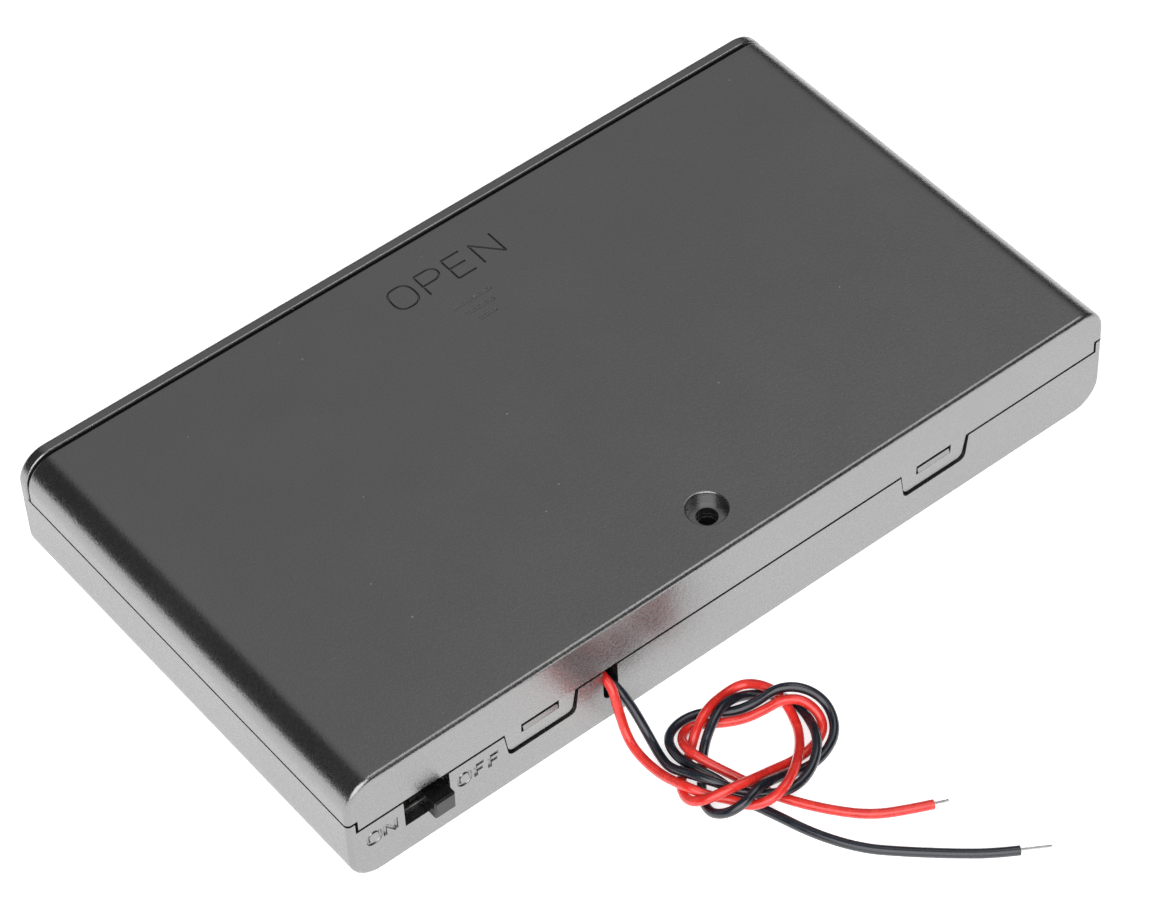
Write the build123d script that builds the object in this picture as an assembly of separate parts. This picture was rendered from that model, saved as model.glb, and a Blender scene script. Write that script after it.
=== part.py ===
from build123d import *
import math
import os

# Flat holder for a row of cylindrical cells, with a sliding cover, a slide switch and two leads.
# X runs along the case, Y from its front wall to its back wall, and Z is up. The origin is in the
# middle of the bottom face. All sizes are in millimetres.

# Cells that the holder takes, lying side by side along Y
cell_diameter = 14.5
cell_length = 50.5
cell_count = 8
cell_pitch = 15.3
cell_lift = 0.3
cell_headroom = 0.45
spring_room = 8.3

# Moulded case: tray and cover together
end_wall = 1.7
front_wall = 1.7
back_wall = 1.9
floor = 1.6
roof = 1.6
partition = 1.4
wire_channel = 7.9
outer_radius = 4.4
inner_radius = 3.0
rim_radius = 0.7
seam_radius = 0.3

# Where the tray and the cover part
front_parting = 10.12
end_parting = 11.95
seam_gap = 0.4
back_gap = 0.45
corner_post = 1.2
tongue_thickness = 0.75
tongue_height = 1.4
tongue_gap = 0.15
cover_play = 0.12        # how far the cover sits to the left of the tray's notches
partition_drop = 1.5
partition_shoulder = 1.0

# Cradles, ridges and contact posts inside the tray
rib_count = 2
rib_thickness = 1.2
rib_top = 5.0
cradle_gap = 0.5
ridge_width = 1.0
post_stem = 1.2
post_head = 3.0
post_head_depth = 0.9
post_top = 12.5

# Contact plates and springs
plate_thickness = 0.4
plate_height = 9.0
plate_gap = 0.1
dimple_diameter = 5.0
dimple_top_diameter = 3.4
dimple_height = 0.9
tail_inset = 4.6
tail_width = 2.0
tail_length = 2.4
tail_gap = 0.25
spring_base_diameter = 7.5
spring_top_diameter = 5.0
spring_length = 8.2
spring_turns = 3.25
spring_sides = 10
spring_wire = 0.55

# Cover screw, which is driven from above into a boss of the tray
boss_from_partition = 2.75
boss_diameter = 5.8
pilot_diameter = 2.5
pilot_depth = 10.0
cup_diameter = 8.4
cup_gap = 0.3
counterbore_diameter = 5.5
counterbore_depth = 1.6
counterbore_round = 0.25
screw_hole_diameter = 3.0

# Snap tabs of the cover, in notches of the front wall
tab_offset = 32.9
tab_top_width = 11.4
tab_bottom_width = 10.1
tab_bottom = 6.25
tab_thickness = 1.0
tab_inset = 0.1
tab_lean = 2.5
tab_corner_radius = 1.0
tab_side_gap = 0.3
tab_bottom_gap = 0.5
tab_back_gap = 0.15
window_width = 6.0
window_bottom = 8.5
lug_side_gap = 0.25
lug_bottom_gap = 0.1
lug_top_gap = 0.25
lug_inset = 0.15
lug_slope = 0.3
backing_thickness = 1.3
backing_margin = 0.8

# Slide switch behind the front wall
switch_from_end = 12.0
switch_middle = 7.2
switch_length = 9.3
switch_height = 5.0
switch_depth = 3.6
switch_sheet = 0.4
switch_travel = 2.7
switch_gap = 0.1
notch_width = 7.1
notch_below = 1.95
knob_width = 3.2
knob_height = 2.9
knob_reach = 2.0
knob_round = 0.3
slider_gap = 0.15
slider_end_gap = 0.3
insulator_thickness = 1.0
insulator_inset = 0.8
pin_pitch = 2.5
pin_width = 0.9
pin_thickness = 0.4
pin_length = 2.0
cheek_thickness = 0.7
cheek_rise = 2.2
ledge_width = 1.1
stop_thickness = 0.9
stop_rise = 2.0

# Leads: stranded wire in a soft sleeve, with tinned ends
lead_diameter = 1.3
lead_sides = 6           # the tubes stay plain, with flat sides
lead_spread = 0.9
red_exit_height = 8.0
black_exit_height = 6.4
wire_seat_gap = 0.05
lead_slot_width = 2.4
lead_slot_middle = -21.75
lead_slot_bottom = 4.3
tip_diameter = 0.6
black_tip_length = 4.0
red_tip_length = 2.0

# Each point is measured from the middle of the lead slot on the front face
black_lead_points = [
    (0.45, 2.2, 6.4), (0.45, -0.5, 6.4), (1.2, -2.5, 4.0), (1.3, -5.9, 0.65),
    (0.4, -9.0, 0.65), (-0.2, -11.8, 1.3), (0.1, -15.0, 3.2), (1.6, -18.1, 3.4),
    (3.3, -20.0, 2.3), (4.8, -22.0, 2.0), (6.8, -23.8, 2.0), (9.9, -24.8, 2.0),
    (13.4, -23.8, 2.3), (16.5, -21.1, 2.6), (18.5, -16.8, 1.2), (19.0, -13.4, 0.65),
    (17.6, -10.6, 0.65), (14.7, -8.6, 0.9), (11.0, -8.9, 2.5), (7.6, -10.5, 2.2),
    (5.3, -11.8, 0.8), (2.7, -14.6, 0.65), (0.2, -17.6, 0.65), (-0.7, -20.3, 0.9),
    (0.2, -22.6, 2.4), (2.4, -23.5, 3.7), (5.6, -22.7, 3.9), (9.7, -22.1, 1.7),
    (12.9, -22.5, 0.65), (16.2, -22.5, 0.65), (20.0, -20.6, 0.7), (21.5, -17.2, 1.9),
    (20.1, -14.4, 3.6), (17.3, -12.3, 4.0), (14.2, -10.9, 1.4), (11.5, -9.5, 0.65),
    (9.1, -7.2, 0.65), (5.8, -6.4, 0.65), (2.6, -7.7, 1.1), (1.2, -11.2, 2.0),
    (1.8, -14.8, 2.3), (3.3, -17.6, 1.5), (3.9, -21.1, 0.65), (5.5, -25.5, 0.65),
    (7.3, -31.0, 0.65), (10.3, -36.4, 0.65), (14.1, -40.3, 0.65), (19.1, -44.9, 0.65),
    (22.4, -47.6, 0.65), (25.1, -49.3, 0.65),
]
red_lead_points = [
    (-0.45, 2.2, 8.0), (-0.45, -0.7, 8.0), (-0.8, -2.2, 5.0), (-1.1, -4.5, 0.8),
    (-1.6, -7.9, 0.65), (-1.5, -11.9, 0.9), (-1.2, -16.0, 2.7), (0.2, -18.5, 2.1),
    (2.1, -20.8, 2.0), (3.4, -23.5, 2.0), (5.8, -25.0, 3.2), (8.9, -24.4, 3.6),
    (12.7, -21.7, 2.6), (15.9, -18.2, 1.2), (17.4, -15.0, 0.8), (17.7, -12.7, 1.8),
    (17.0, -10.4, 2.6), (15.6, -7.5, 1.6), (12.7, -7.1, 1.3), (9.1, -8.2, 2.5),
    (6.0, -9.6, 2.2), (4.2, -10.7, 0.65), (1.6, -12.6, 0.65), (-0.7, -14.4, 0.65),
    (-1.8, -17.1, 1.2), (-1.1, -19.4, 2.8), (1.9, -20.7, 4.0), (5.3, -21.1, 3.5),
    (9.2, -20.5, 1.6), (12.5, -20.6, 0.65), (15.5, -20.7, 0.65), (18.8, -19.5, 0.65),
    (19.7, -17.6, 1.7), (18.8, -15.4, 3.2), (16.8, -13.7, 3.2), (14.7, -12.6, 1.6),
    (12.3, -11.5, 0.65), (9.8, -10.2, 0.65), (8.0, -8.7, 0.65), (5.8, -7.9, 0.65),
    (3.9, -9.0, 1.2), (2.7, -11.6, 2.6), (3.4, -14.2, 2.2), (4.4, -16.2, 1.6),
    (5.8, -18.5, 0.65), (6.8, -21.4, 0.65), (8.2, -24.8, 0.65), (11.2, -29.4, 0.65),
    (14.5, -33.2, 0.65), (18.3, -35.5, 0.65), (21.7, -37.1, 0.65),
]

# Sizes that follow
inner_length = cell_count * cell_pitch
case_length = inner_length + 2 * end_wall
bay_length = cell_length + spring_room
case_width = front_wall + wire_channel + partition + bay_length + back_wall
inner_height = cell_lift + cell_diameter + cell_headroom
case_height = floor + inner_height + roof

front_face = -case_width / 2
front_inner = front_face + front_wall
partition_front = front_inner + wire_channel
bay_front = partition_front + partition
bay_back = bay_front + bay_length
back_face = case_width / 2
cover_back = bay_back - back_gap

tray_end_top = end_parting - seam_gap / 2
tray_front_top = front_parting - seam_gap / 2
cover_end_bottom = end_parting + seam_gap / 2
cover_front_bottom = front_parting + seam_gap / 2
post_line = case_length / 2 - corner_post
partition_top = case_height - roof - partition_drop
boss_y = partition_front - boss_from_partition

cell_z = floor + cell_lift + cell_diameter / 2
cell_axes = [(number - (cell_count - 1) / 2) * cell_pitch for number in range(cell_count)]
cell_bounds = [axis + cell_pitch / 2 for axis in cell_axes[:-1]]

plate_bottom = floor + inner_radius
plate_middle = plate_bottom + plate_height / 2
ridge_top = plate_bottom - plate_gap
post_reach = 2 * plate_gap + plate_thickness
tail_x = inner_length / 2 - tail_inset

tab_height = cover_front_bottom - tab_bottom
tab_drift = tab_height * math.tan(math.radians(tab_lean))
notch_depth = tab_inset + tab_thickness + tab_drift + tab_back_gap
backing_face = front_face + notch_depth

switch_x = -case_length / 2 + switch_from_end
switch_front = front_inner + switch_gap
switch_back = switch_front + switch_depth
insulator_front = switch_back - insulator_inset
insulator_back = insulator_front + insulator_thickness
slider_length = switch_length - 2 * switch_sheet - switch_travel - 2 * slider_end_gap
slider_height = switch_height - 2 * switch_sheet - 2 * slider_gap

# Inside the case the wires run along the channel to the switch and to the last contact
wire_z = switch_middle + pin_thickness / 2 + wire_seat_gap + lead_diameter / 2
pin_wire_y = insulator_back + pin_length / 2
tail_wire_y = partition_front - 1.6
channel_front = (front_inner + boss_y - boss_diameter / 2) / 2
exit_y = front_face + red_lead_points[0][1]

beyond = 5.0             # how far a cutter runs past what it cuts
overlap = 0.3            # how far a rib or post reaches into the wall that it grows from


def block(x_range, y_range, z_range):
    middle = Pos(sum(x_range) / 2, sum(y_range) / 2, sum(z_range) / 2)
    return middle * Box(x_range[1] - x_range[0], y_range[1] - y_range[0], z_range[1] - z_range[0])


def around(middle, width):
    return (middle - width / 2, middle + width / 2)


def drawn_along_y(outline, start, end):
    # The outline is drawn in X and Z, and pulled from Y = start to Y = end
    plane = Plane(origin=(0, end, 0), x_dir=(1, 0, 0), z_dir=(0, -1, 0))
    return extrude(plane * outline, amount=end - start)


def with_mirror_image(shape):
    return shape + mirror(shape, about=Plane.YZ)


# Case

def outer_profile():
    return Pos(0, case_height / 2) * RectangleRounded(case_length, case_height, outer_radius)


def inner_profile():
    middle = floor + inner_height / 2
    return Pos(0, middle) * RectangleRounded(inner_length, inner_height, inner_radius)


def rounded_body(start, end, start_radius, end_radius):
    body = drawn_along_y(outer_profile(), start, end)
    body = fillet(body.faces().sort_by(Axis.Y)[0].edges(), start_radius)
    return fillet(body.faces().sort_by(Axis.Y)[-1].edges(), end_radius)


def wide_block(y_range, z_range):
    return block(around(0, case_length + beyond), y_range, z_range)


def inner_slice(start, end, top):
    # A wall that fills the inside of the case from the floor up to a height
    low = Pos(0, top / 2) * Rectangle(inner_length, top)
    return drawn_along_y(inner_profile() & low, start, end)


def make_partition():
    wall = inner_slice(partition_front, bay_front, tray_end_top)
    upper = block(
        around(0, inner_length - 2 * partition_shoulder),
        (partition_front, bay_front),
        (floor, partition_top),
    )
    tail_slot = block(
        around(tail_x, tail_width + 2 * tail_gap),
        (partition_front - beyond, bay_front + beyond),
        (switch_middle - pin_thickness / 2 - tail_gap, case_height),
    )
    return wall + upper - with_mirror_image(tail_slot)


def make_cradle_rib(y):
    low = Pos(0, rib_top / 2) * Rectangle(inner_length, rib_top)
    outline = inner_profile() & low
    for axis in cell_axes:
        outline -= Pos(axis, cell_z) * Circle(cell_diameter / 2 + cradle_gap)
    return drawn_along_y(outline, *around(y, rib_thickness))


def make_ridges():
    ridges = Part()
    for bound in cell_bounds:
        ridges += block(around(bound, ridge_width), (bay_front, bay_back), (floor - overlap, ridge_top))
    return ridges


def make_contact_posts():
    # T-shaped posts: each plate slides down between their heads and the wall
    lip = (post_head - post_stem) / 2
    posts = Part()
    for wall, inward, bounds in ((bay_back, -1, cell_bounds[1::2]), (bay_front, 1, cell_bounds[0::2])):
        neck = wall + inward * post_reach
        nose = neck + inward * post_head_depth
        stem_depth = sorted((wall - inward * overlap, neck))
        head_depth = sorted((neck, nose))
        for bound in bounds:
            posts += block(around(bound, post_stem), stem_depth, (floor - overlap, post_top))
            posts += block(around(bound, post_head), head_depth, (floor - overlap, post_top))
        # Half a head is enough at the end walls
        end_lip = block(
            (inner_length / 2 - lip, inner_length / 2 + overlap),
            head_depth,
            (plate_bottom - inner_radius / 2, tray_end_top),
        )
        posts += with_mirror_image(end_lip)
    return posts


def make_tongues():
    # A tongue along the inner side of each end wall keeps the cover's end skirt from moving inwards
    tongue = block(
        (inner_length / 2, inner_length / 2 + tongue_thickness),
        (front_inner + tongue_gap, cover_back),
        (tray_end_top - overlap, tray_end_top + tongue_height),
    )
    return with_mirror_image(tongue)


def make_screw_boss():
    middle = (floor - overlap + partition_top) / 2
    return Pos(0, boss_y, middle) * Cylinder(boss_diameter / 2, partition_top - floor + overlap)


def make_pilot_hole():
    middle = partition_top - pilot_depth / 2
    return Pos(0, boss_y, middle) * Cylinder(pilot_diameter / 2, pilot_depth)


def trapezoid(top_width, bottom_width, top, bottom):
    return make_face(Polyline(
        (-top_width / 2, top),
        (-bottom_width / 2, bottom),
        (bottom_width / 2, bottom),
        (top_width / 2, top),
        close=True,
    ))


def make_tab_notch():
    side = 2 * tab_side_gap
    outline = trapezoid(
        tab_top_width + side, tab_bottom_width + side, cover_front_bottom, tab_bottom - tab_bottom_gap
    )
    low_corners = outline.vertices().sort_by(Axis.Y)[:2]
    outline = fillet(low_corners, tab_corner_radius)
    return drawn_along_y(Pos(tab_offset, 0) * outline, front_face - beyond, backing_face)


def make_tab_backing():
    # The wall behind a notch is thickened inwards, and carries the lug that fills the tab's window
    width = tab_top_width + 2 * (tab_side_gap + backing_margin)
    depth = (backing_face, backing_face + backing_thickness)
    plate = block(around(tab_offset, width), depth, (floor - overlap, tray_front_top))
    low = window_bottom + lug_bottom_gap
    high = tray_front_top - lug_top_gap
    lug_outline = make_face(Polyline(
        (backing_face + overlap, low),
        (front_face + lug_inset, low),
        (front_face + lug_inset + lug_slope, high),
        (backing_face + overlap, high),
        close=True,
    ))
    lug_width = window_width - 2 * lug_side_gap
    start = Plane(origin=(tab_offset - lug_width / 2, 0, 0), x_dir=(0, 1, 0), z_dir=(1, 0, 0))
    return plate + extrude(start * lug_outline, amount=lug_width)


def make_switch_notch():
    bottom = switch_middle - notch_below
    return block(
        around(switch_x, notch_width),
        (front_face - beyond, front_inner + overlap),
        (bottom, cover_front_bottom),
    )


def make_switch_seat():
    # Two ledges carry the ends of the switch, cheeks hold it sideways and a stop holds it from behind
    depth = (front_inner - overlap, switch_back + stop_thickness + 2 * switch_gap)
    seat_top = switch_middle - switch_height / 2 - switch_gap
    outer = switch_length / 2 + switch_gap
    ledge = block((outer - ledge_width, outer + cheek_thickness), depth, (floor - overlap, seat_top))
    cheek = block((outer, outer + cheek_thickness), depth, (floor - overlap, seat_top + cheek_rise))
    stop = block(
        (-outer - cheek_thickness, outer + cheek_thickness),
        (depth[1] - stop_thickness, depth[1]),
        (floor - overlap, seat_top + stop_rise),
    )
    return Pos(switch_x, 0, 0) * (with_mirror_image(ledge + cheek) + stop)


def make_lead_slot():
    radius = lead_slot_width / 2
    floor_middle = lead_slot_bottom + radius
    opening = cover_front_bottom - floor_middle
    outline = Pos(0, floor_middle) * Circle(radius)
    outline += Pos(0, floor_middle + opening / 2) * Rectangle(lead_slot_width, opening)
    return drawn_along_y(Pos(lead_slot_middle, 0) * outline, front_face - beyond, front_inner + overlap)


def make_tray():
    tray = rounded_body(front_face, back_face, rim_radius, rim_radius)
    tray -= wide_block((front_face - beyond, back_face + beyond), (tray_end_top, case_height + beyond))
    back_strip = rounded_body(bay_back, back_face, seam_radius, rim_radius)
    tray += back_strip - wide_block((front_face, back_face + beyond), (-beyond, tray_end_top))
    tray -= drawn_along_y(inner_profile(), front_inner, bay_back)
    tray -= block(
        (-post_line, post_line), (front_face - beyond, front_inner), (tray_front_top, case_height)
    )
    tray -= make_switch_notch() + make_lead_slot()
    tray -= Pos(cover_play, 0, 0) * with_mirror_image(make_tab_notch())
    tray += Pos(cover_play, 0, 0) * with_mirror_image(make_tab_backing())
    tray += make_partition()
    tray += make_ridges()
    for number in range(rib_count):
        tray += make_cradle_rib(bay_front + bay_length * (number + 1) / (rib_count + 1))
    tray += make_contact_posts()
    tray += make_tongues()
    tray += make_switch_seat()
    tray += make_screw_boss()
    return tray - make_pilot_hole()


def make_tab():
    # Drawn on a plane that leans in towards the bottom, and cut through by the window for the lug
    lean = math.radians(tab_lean)
    outline = trapezoid(tab_top_width, tab_bottom_width, overlap, -tab_height)
    low_corners = outline.vertices().sort_by(Axis.Y)[:2]
    outline = fillet(low_corners, tab_corner_radius)
    window_height = cover_front_bottom - window_bottom
    outline -= Pos(0, -window_height / 2) * Rectangle(window_width, window_height)
    outline += Pos(0, overlap / 2) * Rectangle(tab_top_width, overlap)
    plane = Plane(
        origin=(tab_offset, front_face + tab_inset, cover_front_bottom),
        x_dir=(1, 0, 0),
        z_dir=(0, -math.cos(lean), -math.sin(lean)),
    )
    return extrude(plane * outline, amount=-tab_thickness)


def make_cover():
    cover = rounded_body(front_face, cover_back, rim_radius, seam_radius)
    upper = wide_block((front_face - beyond, back_face), (cover_end_bottom, case_height + beyond))
    front_skirt = block(
        around(0, 2 * (post_line - seam_gap)),
        (front_face - beyond, front_inner),
        (cover_front_bottom, cover_end_bottom + overlap),
    )
    cover = cover & (upper + front_skirt)
    cover -= drawn_along_y(inner_profile(), front_inner, back_face)
    tongue_groove = block(
        (inner_length / 2 - overlap, inner_length / 2 + tongue_thickness + tongue_gap),
        (front_inner, back_face),
        (cover_end_bottom - overlap, tray_end_top + tongue_height + tongue_gap),
    )
    cover -= with_mirror_image(tongue_groove)
    cover += with_mirror_image(make_tab())
    cup_bottom = partition_top + cup_gap
    cup_height = case_height - roof + overlap - cup_bottom
    cover += Pos(0, boss_y, cup_bottom + cup_height / 2) * Cylinder(cup_diameter / 2, cup_height)
    sunk = Pos(0, boss_y, case_height) * Cylinder(counterbore_diameter / 2, 2 * counterbore_depth)
    hole = Pos(0, boss_y, case_height) * Cylinder(screw_hole_diameter / 2, case_height)
    cover -= sunk + hole
    rim = cover.edges().filter_by(GeomType.CIRCLE).filter_by_position(
        Axis.Z, case_height - 0.01, case_height + 0.01
    )
    return fillet(rim, counterbore_round)


# Contacts

def make_plate(x_range, inward):
    # The plate stands in X and Z with its face at Y = 0, and its dimple rises inwards
    depth = sorted((-inward * plate_thickness, 0))
    return block(x_range, depth, (plate_bottom, plate_bottom + plate_height))


def make_dimple(x, inward):
    dimple = Cone(dimple_diameter / 2, dimple_top_diameter / 2, dimple_height)
    return Pos(x, inward * dimple_height / 2, plate_middle) * Rot(-90 * inward, 0, 0) * dimple


def plate_face(wall, inward):
    return wall + inward * (plate_gap + plate_thickness)


def make_link(first, last, dimple_at, wall, inward):
    # Joins two cells: a dimple for the one that meets it with its button, a spring for the other
    edge = cell_pitch / 2 - post_stem / 2 - plate_gap
    plate = make_plate((first - edge, last + edge), inward) + make_dimple(dimple_at, inward)
    return Pos(0, plate_face(wall, inward), 0) * plate


def make_terminal(axis, side, has_dimple):
    # The end contact, with a tail that runs through the partition into the wire channel
    edge = cell_pitch / 2 - post_stem / 2 - plate_gap
    plate = make_plate(sorted((axis - side * edge, side * (inner_length / 2 - plate_gap))), 1)
    if has_dimple:
        plate += make_dimple(axis, 1)
    depth = (-plate_thickness - plate_gap - partition - tail_length, -plate_thickness / 2)
    plate += block(around(side * tail_x, tail_width), depth, around(switch_middle, pin_thickness))
    return Pos(0, plate_face(bay_front, 1), 0) * plate


def make_spring(axis, wall, inward):
    # The coil is made of short straight runs, which keeps it light
    base_radius = (spring_base_diameter - spring_wire) / 2
    top_radius = (spring_top_diameter - spring_wire) / 2
    runs = round(spring_turns * spring_sides)
    points = []
    for number in range(runs + 1):
        share = number / runs
        radius = base_radius + share * (top_radius - base_radius)
        angle = 2 * math.pi * spring_turns * share
        height = share * (spring_length - spring_wire)
        points.append((radius * math.cos(angle), radius * math.sin(angle), height))
    path = Polyline(*points)
    section = Plane(origin=path @ 0, z_dir=path % 0) * Rectangle(spring_wire, spring_wire)
    spring = sweep(section, path=path, transition=Transition.RIGHT)
    seat = plate_face(wall, inward) + inward * (plate_gap + spring_wire)
    return Pos(axis, seat, cell_z) * Rot(-90 * inward, 0, 0) * spring


# Slide switch

def make_switch_shell():
    shell = block(
        around(0, switch_length), (switch_front, switch_back), around(switch_middle, switch_height)
    )
    shell -= block(
        around(0, switch_length - 2 * switch_sheet),
        (switch_front + switch_sheet, switch_back + beyond),
        around(switch_middle, switch_height - 2 * switch_sheet),
    )
    shell -= block(
        around(0, switch_travel + knob_width + 4 * switch_gap),
        (switch_front - beyond, switch_front + switch_sheet + overlap),
        around(switch_middle, knob_height + 4 * switch_gap),
    )
    return Pos(switch_x, 0, 0) * shell


def make_insulator():
    margin = 2 * (switch_sheet + switch_gap)
    plate = block(
        around(0, switch_length - margin),
        (insulator_front, insulator_back),
        around(switch_middle, switch_height - margin),
    )
    for number in (-1, 0, 1):
        plate -= block(
            around(number * pin_pitch, pin_width + switch_gap),
            (insulator_front - beyond, insulator_back + beyond),
            around(switch_middle, pin_thickness + switch_gap),
        )
    return Pos(switch_x, 0, 0) * plate


def make_switch_pin(number):
    return block(
        around(switch_x + number * pin_pitch, pin_width),
        (insulator_front, insulator_back + pin_length),
        around(switch_middle, pin_thickness),
    )


def make_knob():
    # The knob stands through the notch, on a slider that runs inside the shell
    front = front_face - knob_reach
    slider_front = switch_front + switch_sheet + switch_gap
    stem = block(around(0, knob_width), (front, slider_front + overlap), around(0, knob_height))
    stem = fillet(stem.faces().sort_by(Axis.Y)[0].edges(), knob_round)
    slider = block(
        around(0, slider_length), (slider_front, insulator_front - slider_gap), around(0, slider_height)
    )
    return Pos(switch_x + switch_travel / 2, 0, switch_middle) * (stem + slider)


# Leads

def from_slot(points):
    return [(lead_slot_middle + x, front_face + y, z) for x, y, z in points]


def across(share):
    # From the wire beside the partition (0) to the wire beside the front wall (1)
    return tail_wire_y + share * (channel_front - tail_wire_y)


def red_inner_run():
    slot = lead_slot_middle
    return [
        (switch_x - pin_width / 2, pin_wire_y, wire_z),
        (switch_x + 6.65, pin_wire_y - 0.1, wire_z + 0.2),
        (switch_x + 16.4, across(0.11), wire_z + 0.4),
        (slot - 6.3, across(-0.02), wire_z + 0.2),
        (slot - 2.8, across(-0.02), wire_z + 0.2),
        (slot - 1.3, across(0.17), wire_z + 0.2),
        (slot - lead_spread / 2, across(0.49), red_exit_height),
        (slot - lead_spread / 2, exit_y, red_exit_height),
    ]


def black_inner_run():
    slot = lead_slot_middle
    return [
        (tail_x + 1.6, tail_wire_y, wire_z),
        (tail_x - 4.6, tail_wire_y - 0.2, wire_z + 0.1),
        (tab_offset + 10, across(0.31), wire_z - 1.1),
        (tab_offset - 2, across(0.55), floor + 2.8),
        (19, across(0.81), floor + 1.4),
        (8, across(0.99), floor + 1.0),
        (-1.5, across(1), floor + 1.0),
        (-8.6, across(0.68), floor + 2.4),
        (-15.3, across(0), 5.8),
        (slot + 2.8, across(-0.02), black_exit_height),
        (slot + 1.3, across(0.17), black_exit_height + 0.15),
        (slot + lead_spread / 2, across(0.49), black_exit_height),
        (slot + lead_spread / 2, exit_y, black_exit_height),
    ]


def jumper_run():
    start = -tail_x - tail_width / 2 - 0.6
    end = switch_x - pin_pitch + pin_width / 2
    return [
        (start, tail_wire_y - 0.2, wire_z),
        ((start + end) / 2, tail_wire_y + 0.2, wire_z + 0.3),
        (end, pin_wire_y, wire_z),
    ]


def corner_radii(points):
    # As large as the shorter run beside each corner allows
    radii = []
    for before, corner, after in zip(points, points[1:], points[2:]):
        arriving = Vector(*corner) - Vector(*before)
        leaving = Vector(*after) - Vector(*corner)
        half_turn = math.radians(arriving.get_angle(leaving)) / 2
        radii.append(0.45 * min(arriving.length, leaving.length) / math.tan(half_turn))
    return radii


def lead_path(points):
    return FilletPolyline(*points, radius=corner_radii(points))


def make_lead(name, points):
    path = lead_path(points)
    section = Plane(origin=path @ 0, z_dir=path % 0) * RegularPolygon(lead_diameter / 2, lead_sides)
    lead = sweep(section, path=path)
    share = lead.volume / (section.area * path.length)
    print(name, "radii", [round(radius, 1) for radius in corner_radii(points)])
    print(name, "length", round(path.length, 1), "volume over section times length", round(share, 4))
    return lead


def make_tip(points, length):
    # Tinned strands, in line with the last run of the lead
    end = Vector(*points[-1])
    direction = end - Vector(*points[-2])
    section = Plane(origin=end, z_dir=direction) * RegularPolygon(tip_diameter / 2, lead_sides)
    return extrude(section, amount=length)


red_run = from_slot(red_lead_points)
black_run = from_slot(black_lead_points)
parts = {
    "case_base": make_tray(),
    "sliding_cover": make_cover(),
    "switch_shell": make_switch_shell(),
    "switch_insulator": make_insulator(),
    "switch_knob": make_knob(),
    "positive_terminal": make_terminal(cell_axes[0], -1, True),
    "negative_terminal": make_terminal(cell_axes[-1], 1, False),
    "jumper_wire": make_lead("jumper", jumper_run()),
    "red_inner_lead": make_lead("red inner", red_inner_run()),
    "black_inner_lead": make_lead("black inner", black_inner_run()),
    "red_lead": make_lead("red", red_run),
    "black_lead": make_lead("black", black_run),
    "red_tip": make_tip(red_run, red_tip_length),
    "black_tip": make_tip(black_run, black_tip_length),
}
for number in (-1, 0, 1):
    parts[f"switch_pin_{number + 2}"] = make_switch_pin(number)
for number, first in enumerate(cell_axes[0::2], 1):
    last = first + cell_pitch
    parts[f"back_link_{number}"] = make_link(first, last, last, bay_back, -1)
for number, first in enumerate(cell_axes[1:-1:2], 1):
    last = first + cell_pitch
    parts[f"front_link_{number}"] = make_link(first, last, last, bay_front, 1)
for number, axis in enumerate(cell_axes, 1):
    at_back = number % 2 == 1
    parts[f"spring_{number}"] = make_spring(axis, *((bay_back, -1) if at_back else (bay_front, 1)))

os.makedirs("parts", exist_ok=True)
for name, part in parts.items():
    export_step(part, f"parts/{name}.step")
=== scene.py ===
import bpy
import bmesh
import math
from mathutils import Matrix, Vector


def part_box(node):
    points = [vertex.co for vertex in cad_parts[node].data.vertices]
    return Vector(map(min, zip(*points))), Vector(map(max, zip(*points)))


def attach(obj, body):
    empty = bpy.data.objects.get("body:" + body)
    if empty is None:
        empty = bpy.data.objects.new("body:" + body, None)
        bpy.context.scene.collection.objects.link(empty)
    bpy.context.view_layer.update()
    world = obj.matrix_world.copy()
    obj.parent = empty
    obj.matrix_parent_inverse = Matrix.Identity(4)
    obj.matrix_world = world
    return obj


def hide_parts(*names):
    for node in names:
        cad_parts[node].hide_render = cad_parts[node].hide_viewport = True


# A flat holder for a row of cylindrical cells: moulded tray and cover, slide switch, two knotted leads
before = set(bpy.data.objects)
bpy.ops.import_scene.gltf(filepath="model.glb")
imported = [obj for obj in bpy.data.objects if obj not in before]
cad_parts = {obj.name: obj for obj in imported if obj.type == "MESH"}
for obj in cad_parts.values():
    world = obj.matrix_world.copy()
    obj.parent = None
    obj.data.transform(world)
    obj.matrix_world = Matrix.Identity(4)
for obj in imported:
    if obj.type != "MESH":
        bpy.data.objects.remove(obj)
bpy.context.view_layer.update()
print("frame loaded with", len(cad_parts), "nodes")

mm = 0.001
nodeObjects = {obj.name: obj for obj in bpy.data.objects if obj.type == "MESH"}
trayLow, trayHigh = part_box("case_base")
frontFace = trayLow[1]
backFace = trayHigh[1]
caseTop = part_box("sliding_cover")[1][2]
cellCount = sum(name.startswith("spring_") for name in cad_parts)

# Camera, where the photographer stood: place in metres, angles in degrees, lens in millimetres
view = {
    "place": (-0.22392, -0.30680, 0.43229),
    "azimuth": -36.285,
    "elevation": 48.388,
    "roll": 3.187,
    "lens": 133.81,
    "sensor": 36,
}


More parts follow.
